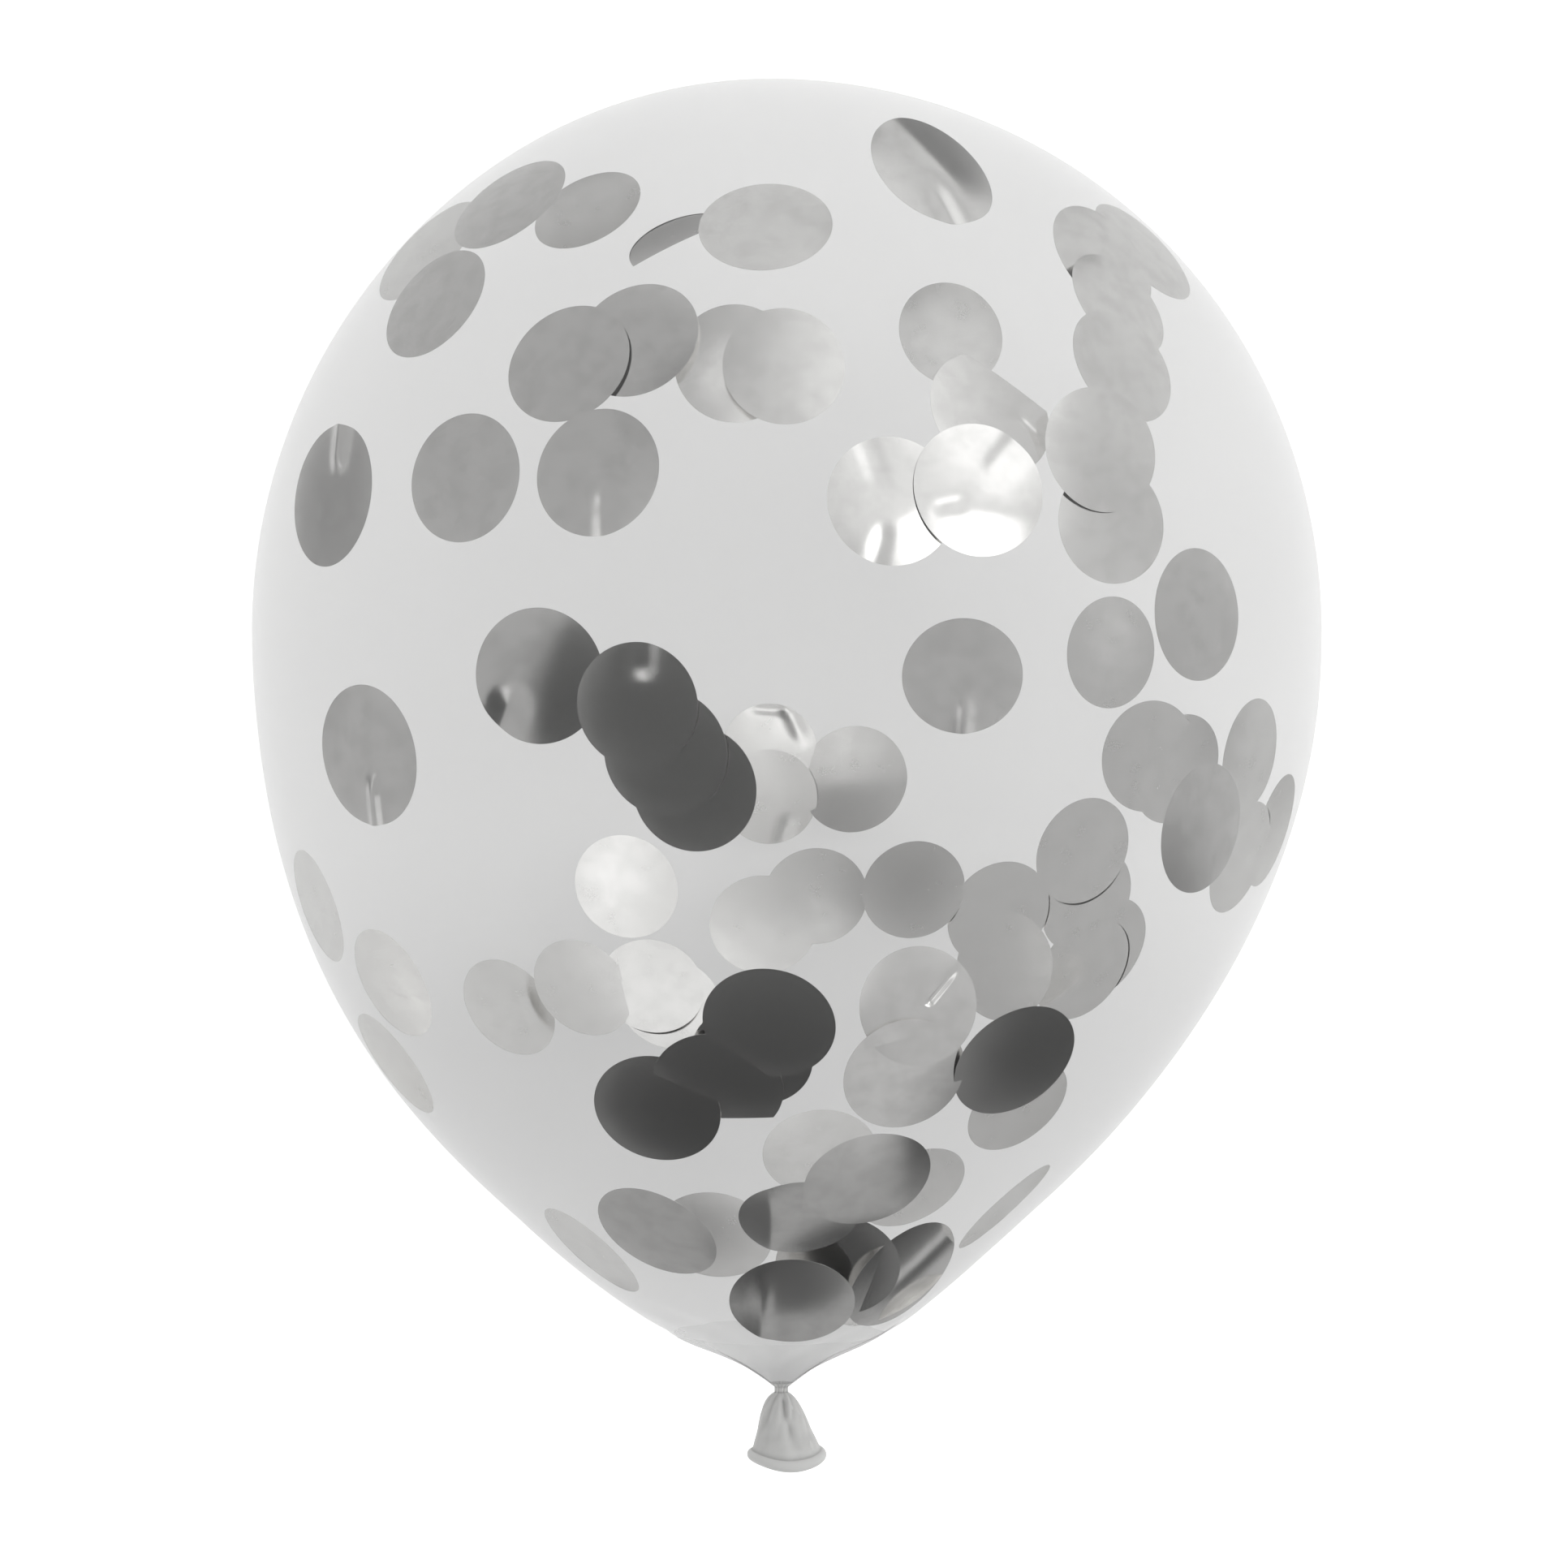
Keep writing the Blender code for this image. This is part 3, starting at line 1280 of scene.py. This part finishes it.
def near_discs() -> dict[str, Disc]:
    """The discs on the near wall, by where the photograph shows them.

    Returns:
        The discs by name.
    """
    near = Wall.NEAR
    rows = [
        Disc((735, 581), 163, marks=(Crease((0.09, -0.2), (0.09, -1.0), 0.15, 0.4),), nudge=(-0.9, -1.4)),
        Disc((1186, 834), 150, near, 0, (145, 0), (Crease((0.06, -0.25), (0.04, -1.0), 0.13, -0.4),),
             nudge=(3.1, -3.0)),
        Disc((451, 931), 176, near, 0, (116, 97), (Crease((0.14, -0.2), (0.16, -1.0), 0.13, -1.2),),
             nudge=(-1.3, -3.6)),
        Disc((406, 610), 178, near, 0, (92, 78), (Crease((0.22, 0.2), (0.24, 1.0), 0.16, -1.3),),
             nudge=(-0.4, -1.9)),
        Disc((571, 588), 162, near, 0, (130, 72)),
        Disc((943, 276), 166, nudge=(-1.3, 3.8)),
        Disc((1152, 206), 173, near, 0, (119, -34), (Crease((-0.05, -0.3), (0.35, -1.0), 0.16, 0.55),
                                                     Bend(40, 0.12, 9, 0.12)), nudge=(4.1, 5.9)),
        Disc((1478, 757), 164),
        Disc((699, 446), 163),
        Disc((783, 417), 162, layer=1, nudge=(-3.9, -0.2)),
        Disc((905, 447), 150, near, 2, (145, 8), nudge=(0.7, -2.0)),
        Disc((966, 450), 152, near, 1, (145, 4), nudge=(6.0, 1.8)),
        Disc((534, 372), 159, near, 0, (84, 49)),
        Disc((626, 249), 161, near, 1, (61, 35), nudge=(3.0, -4.4)),
        Disc((1358, 553), 159, near, 0, (128, 112), nudge=(-2.5, -0.3)),
        Disc((1371, 644), 152, near, 7, (130, 105), nudge=(1.1, -0.7)),
        Disc((1099, 616), 163, layer=2, marks=(Crease((-0.12, 0.10), (-0.42, 1.0), 0.22, 0.45),
                                               Crease((-0.08, -0.30), (-0.25, -1.0), 0.15, 0.25),
                                               Bend(-60, 0.35, 4, 0.12)), nudge=(2.0, -0.6)),
        Disc((1207, 602), 169, marks=(Crease((0.05, 0.1), (0.6, 0.8), 0.22, 0.5),
                                      Crease((-0.75, -0.35), (-0.35, -0.25), 0.12, 0.15),
                                      Bend(-90, 0.35, 5, 0.12)), nudge=(-2.3, 0.6)),
        Disc((662, 833), 169, marks=(Crease((-0.38, -0.15), (-0.66, -0.85), 0.23, 0.9),
                                     Bend(-12, 0.35, 6, 0.2)), nudge=(5.8, -0.3)),
        Disc((784, 869), 156, layer=1, marks=(Crease((0.1, 0.4), (0.12, 1.0), 0.26, 0.5),),
             nudge=(-1.3, -1.4)),
        Disc((819, 928), 158, layer=2, nudge=(-2.3, 1.6)),
        Disc((855, 972), 158, layer=1, marks=(Curl(0, 0.4, -0.5),), nudge=(-4.3, 2.9)),
        Disc((947, 1263), 166, nudge=(-6.3, -4.4)),
        Disc((884, 1340), 164, layer=8, fold=Fold(-84, 0.62), nudge=(-2.5, -0.6)),
        Disc((926, 1303), 152, layer=6, nudge=(-5.9, -1.7)),
        Disc((809, 1368), 160, near, 2, (122, -25), nudge=(4.2, -0.0)),
        Disc((1252, 1309), 167, nudge=(-1.8, 0.2)),
        Disc((1132, 1240), 150, near, 1, (146, 30), (Crease((0.72, 0.68), (0.2, 0.08), 0.06, 0.4),),
             nudge=(6.8, 4.7)),
        Disc((1115, 1325), 156, near, 1, (130, 15), nudge=(7.8, 0.2)),
        Disc((1483, 1021), 164, near, 0, (94, 78), nudge=(1.0, -1.3)),
        Disc((808, 1520), 160, nudge=(-5.4, 2.3)),
        Disc((1070, 1456), 162, layer=1, marks=(Bend(0, 0.62, 8, 0.2),), nudge=(0.8, 2.2)),
        Disc((985, 1503), 150, layer=14, marks=(Bend(180, 0.5, 12, 0.06),), nudge=(2.0, -3.3)),
        Disc((1032, 1562), 156, near, 3, (128, -10), nudge=(4.5, -4.6)),
        Disc((1113, 1573), 167, near, 1, (80, 35), (Crease((-0.6, -0.3), (0.9, 0.3), 0.20, 0.35),),
             nudge=(5.8, 4.1)),
        Disc((976, 1606), 156, near, 0, (94, 8), (Crease((-0.42, 0.9), (-0.52, -0.9), 0.16, -0.4),),
             nudge=(-6.4, 4.3)),
        Disc((1222, 508), 168, near, 12, (132, -49), (Crease((0.35, 0.1), (0.8, -0.2), 0.07, 0.3),),
             Fold(64, 0.68), nudge=(1.2, 4.1)),
        Disc((1361, 318), 160, near, 0, (85, -46), nudge=(2.1, -2.3)),
        Disc((1412, 306), 161, near, 1, (50, -45)),
        Disc((1380, 373), 150, layer=6, nudge=(1.3, -2.2)),
        Disc((1385, 449), 156, layer=5, nudge=(-1.3, -2.5)),
    ]
    return {f"near_disc_{number:02d}": disc for number, disc in enumerate(rows, start=1)}


def far_discs() -> dict[str, Disc]:
    """The discs on the far wall, by where the photograph shows them.

    Returns:
        The discs by name.
    """
    far = Wall.FAR
    rows = [
        Disc((723, 257), 141, far, nudge=(1.3, -1.3)),
        Disc((525, 306), 160, far, 0, (52, 45), nudge=(-2.3, 1.9)),
        Disc((838, 298), 132, far, 0, (62, 20), fold=Fold(-70, 0.0), nudge=(1.1, -3.7)),
        Disc((1172, 411), 134, far, 0, (122, 145), nudge=(-5.3, -0.7)),
        Disc((1370, 804), 138, far, nudge=(-1.3, 1.2)),
        Disc((1417, 932), 138, far, 0, (112, 78), nudge=(1.8, 1.4)),
        Disc((1451, 948), 140, far, 1, nudge=(5.6, 4.6)),
        Disc((1542, 931), 142, far, nudge=(-3.0, 0.4)),
        Disc((1570, 1024), 145, far),
        Disc((1530, 1057), 145, far, 1),
        Disc((1335, 1049), 137, far, 1),
        Disc((1340, 1110), 136, far),
        Disc((1358, 1171), 142, far, 1),
        Disc((1335, 1195), 142, far, 2),
        Disc((1126, 1097), 129, far, 1, nudge=(2.7, 1.0)),
        Disc((1005, 1105), 128, far, nudge=(-0.2, 2.2)),
        Disc((940, 1140), 132, far, 1, nudge=(-1.1, 1.4)),
        Disc((771, 1093), 133, far, nudge=(1.3, -0.3)),
        Disc((803, 1216), 130, far, nudge=(-2.9, 1.0)),
        Disc((825, 1237), 130, far, 1, nudge=(0.4, 1.3)),
        Disc((948, 926), 118, far, 1, marks=(Crease((0.75, 0.1), (0.35, 1.0), 0.16, 0.45),
                                             Crease((-0.5, 0.9), (0.3, 0.85), 0.10, 0.30),
                                             Crease((-0.1, -0.2), (0.35, -0.35), 0.14, 0.25)),
             nudge=(1.7, -0.8)),
        Disc((948, 982), 118, far, marks=(Crease((0.45, -0.35), (0.25, -0.95), 0.14, 0.4),),
             nudge=(-2.1, -2.9)),
        Disc((1053, 961), 134, far, 1, marks=(Bend(-88, 0.08, 7, 0.16),), nudge=(-6.0, -0.7)),
        Disc((390, 1117), 145, far),
        Disc((482, 1212), 147, far),
        Disc((485, 1312), 148, far),
        Disc((626, 1242), 134, far, nudge=(0.7, 0.5)),
        Disc((717, 1218), 134, far, 1, nudge=(4.8, 2.4)),
        Disc((1255, 1364), 142, far, nudge=(0.5, 1.8)),
        Disc((1254, 1504), 148, far, nudge=(0.1, 1.1)),
        Disc((1125, 1465), 140, far, nudge=(-4.3, 8.7)),
        Disc((1010, 1421), 141, far, nudge=(3.3, 1.3)),
        Disc((880, 1523), 143, far, nudge=(-3.6, -1.3)),
        Disc((717, 1555), 148, far, nudge=(1.7, -1.2)),
        Disc((1110, 1608), 148, far),
        Disc((1231, 1126), 138, far, 1),
        Disc((1239, 1191), 134, far, 2, (114, 84), nudge=(2.8, 0.0)),
    ]
    return {f"far_disc_{number:02d}": disc for number, disc in enumerate(rows, start=1)}


@dataclass(frozen=True)
class DomePatch:
    """A soft patch of the studio dome that is lighter or darker than the rest.

    Attributes:
        lean: How far it leans from straight above towards +X and towards +Y, in degrees.
        reach: Its radius in degrees.
        edge: How wide its soft edge is, in degrees.
        level: Its brightness.
        least_core: The smallest radius at which it is full, in degrees.
    """

    lean: tuple[float, float]
    reach: float
    edge: float
    level: float
    least_core: float = 0.5

    def direction(self) -> tuple[float, float, float]:
        """The direction towards its middle.

        Returns:
            A unit vector.
        """
        away = math.radians(math.hypot(*self.lean))
        turn = math.atan2(self.lean[1], self.lean[0])
        return (math.sin(away) * math.cos(turn), math.sin(away) * math.sin(turn), math.cos(away))

    def rim(self) -> tuple[float, float]:
        """The cosines of the angles from its middle at which it fades out and at which it is full.

        Returns:
            The outer and the inner cosine.
        """
        outer = self.reach + self.edge / 2
        inner = max(self.least_core, self.reach - self.edge / 2)
        return math.cos(math.radians(outer)), math.cos(math.radians(inner))


@dataclass
class Studio:
    """The white table, and the dome of soft light over it.

    Attributes:
        table_width: How wide the table is.
        table_steps: How many faces it has a side.
        table_drop: How far under the balloon it is.
        dome_level: The dome's brightness overhead.
        horizon_level: Its brightness at the horizon.
        below_level: Its brightness from below.
        upper_band: Between which heights it goes from overhead to the horizon, as shares of its radius.
        lower_band: Between which heights it goes from the horizon to below.
        dome_tint: The dome's colour.
        backdrop_level: The brightness of the backdrop that the camera sees.
        finish: The table's finish.
        patches: The dome's lighter and darker patches, from the lowest to the topmost.
    """

    table_width: float = 14.0
    table_steps: int = 8
    table_drop: float = 0.0002
    dome_level: float = 0.57
    horizon_level: float = 0.62
    below_level: float = 0.84
    upper_band: tuple[float, float] = (0.35, -0.10)
    lower_band: tuple[float, float] = (-0.25, -0.95)
    dome_tint: tuple[float, float, float] = (1.0, 1.0, 0.995)
    backdrop_level: float = 1.0
    finish: FloorFinish = FloorFinish("white_table")
    patches: tuple[DomePatch, ...] = (
        DomePatch((-7, 87), 22, 8, 0.90),
        DomePatch((93, 88), 36, 15, 0.94),
        DomePatch((70, 40), 19, 13, 0.86),
        DomePatch((37, -60), 19, 22, 0.91),
        DomePatch((46, -15), 29, 21, 0.83),
        DomePatch((-34, -41), 17, 7, 1.07),
        DomePatch((-82, 1), 3, 6, 1.04),
        DomePatch((10, 29), 10, 16, 0.83),
        DomePatch((-11, 52), 4, 9, 1.21),
        DomePatch((24, 63), 18, 26, 1.42),
        DomePatch((31, 29), 17, 19, 1.29),
        DomePatch((39, 39), 10, 7, 1.92),
        DomePatch((36, 11), 8, 2, 3.23),
        DomePatch((-24, 11), 7, 13, 1.43),
        DomePatch((-3, 18), 4, 8, 1.30),
        DomePatch((5, 0), 10, 9, 2.00),
        DomePatch((-24, 44), 8, 12, 0.20),
        DomePatch((-109, 15), 12, 14, 0.38),
        DomePatch((-30, -104), 16, 14, 0.56),
        DomePatch((55, -129), 8, 4, 0.22),
        DomePatch((24, 89), 9, 9, 0.24),
        DomePatch((-25, -16), 19, 6, 0.03),
        DomePatch((-13, -68), 19, 15, 0.08),
        DomePatch((71, -61), 21, 24, 0.09),
        DomePatch((26, -111), 8, 2, 0.09),
        DomePatch((-20, -104), 9, 4, 0.15),
        DomePatch((58, 100), 11, 4, 0.16),
        DomePatch((-1, -87), 8, 2, 0.14),
    )

    def build_table(self) -> bpy.types.Object:
        """Builds the table top.

        Returns:
            The table top, which isn't part of the object.
        """
        mesh = bmesh.new()
        bmesh.ops.create_grid(
            mesh, x_segments=self.table_steps, y_segments=self.table_steps, size=self.table_width / 2)
        bmesh.ops.translate(mesh, vec=(0.0, 0.0, -self.table_drop), verts=mesh.verts)
        table = add_piece("white_table", mesh)
        table.data.materials.append(self.finish.material())
        table.visible_glossy = False
        return table

    def light_dome(self) -> None:
        """Lights the world: an even dome with the patches on it, and a plain backdrop behind the object."""
        world = bpy.data.worlds.new("studio_dome")
        world.use_nodes = True
        bpy.context.scene.world = world
        # The dome is nearly even, so rays that leave each surface find it as well, in a third of the time.
        world.cycles.sampling_method = "NONE"
        board = NodeBoard(world.node_tree)
        toward = board.node("ShaderNodeTexCoord", {}, {}).outputs["Generated"]
        height = toward_z(board, toward)
        level = board.eased(height, *self.upper_band, self.dome_level, self.horizon_level)
        level = level + board.eased(height, *self.lower_band, 0.0, self.below_level - self.horizon_level)
        for patch in self.patches:
            facing = board.node("ShaderNodeVectorMath", {"operation": "DOT_PRODUCT"},
                                {0: toward, 1: patch.direction()}).outputs["Value"]
            share = board.eased(facing, *patch.rim(), 0.0, 1.0)
            level = level + share * (patch.level - level)
        dome = board.node("ShaderNodeBackground", {}, {"Color": (*self.dome_tint, 1.0), "Strength": level})
        backdrop = board.node("ShaderNodeBackground", {}, {"Color": (1.0, 1.0, 1.0, 1.0),
                                                           "Strength": self.backdrop_level})
        seen = board.node("ShaderNodeLightPath", {}, {}).outputs["Is Camera Ray"]
        mixed = board.node("ShaderNodeMixShader", {}, {0: seen, 1: dome.outputs[0], 2: backdrop.outputs[0]})
        board.node("ShaderNodeOutputWorld", {}, {"Surface": mixed.outputs[0]})


def toward_z(board: NodeBoard, direction: bpy.types.NodeSocket) -> Val:
    """How far a direction points up, from -1 to 1."""
    return board.val(board.node("ShaderNodeSeparateXYZ", {}, {0: direction}).outputs["Z"])


def set_view_transform() -> None:
    """Shows colours as they are, so that the table stays white."""
    settings = bpy.context.scene.view_settings
    settings.view_transform = "Standard"
    settings.look = "None"


def report(piece: bpy.types.Object) -> None:
    """Logs a piece that was built."""
    LOG.info("%s: %d faces", piece.name, len(piece.data.polygons))


def main() -> None:
    """Builds the balloon round the frame, and lights it."""
    logging.basicConfig(level=logging.INFO, format="%(name)s: %(message)s")
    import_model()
    view = PhotoView()
    view.add_camera()

    skin = BalloonSkin().build()
    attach(skin, BODY)
    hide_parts("balloon")
    report(skin)

    confetti = Confetti(skin, view)
    for discs in (near_discs(), far_discs()):
        for disc in confetti.build(discs):
            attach(disc, BODY)
            report(disc)

    studio = Studio()
    studio.build_table()
    studio.light_dome()
    set_view_transform()


if __name__ == "__main__":
    main()
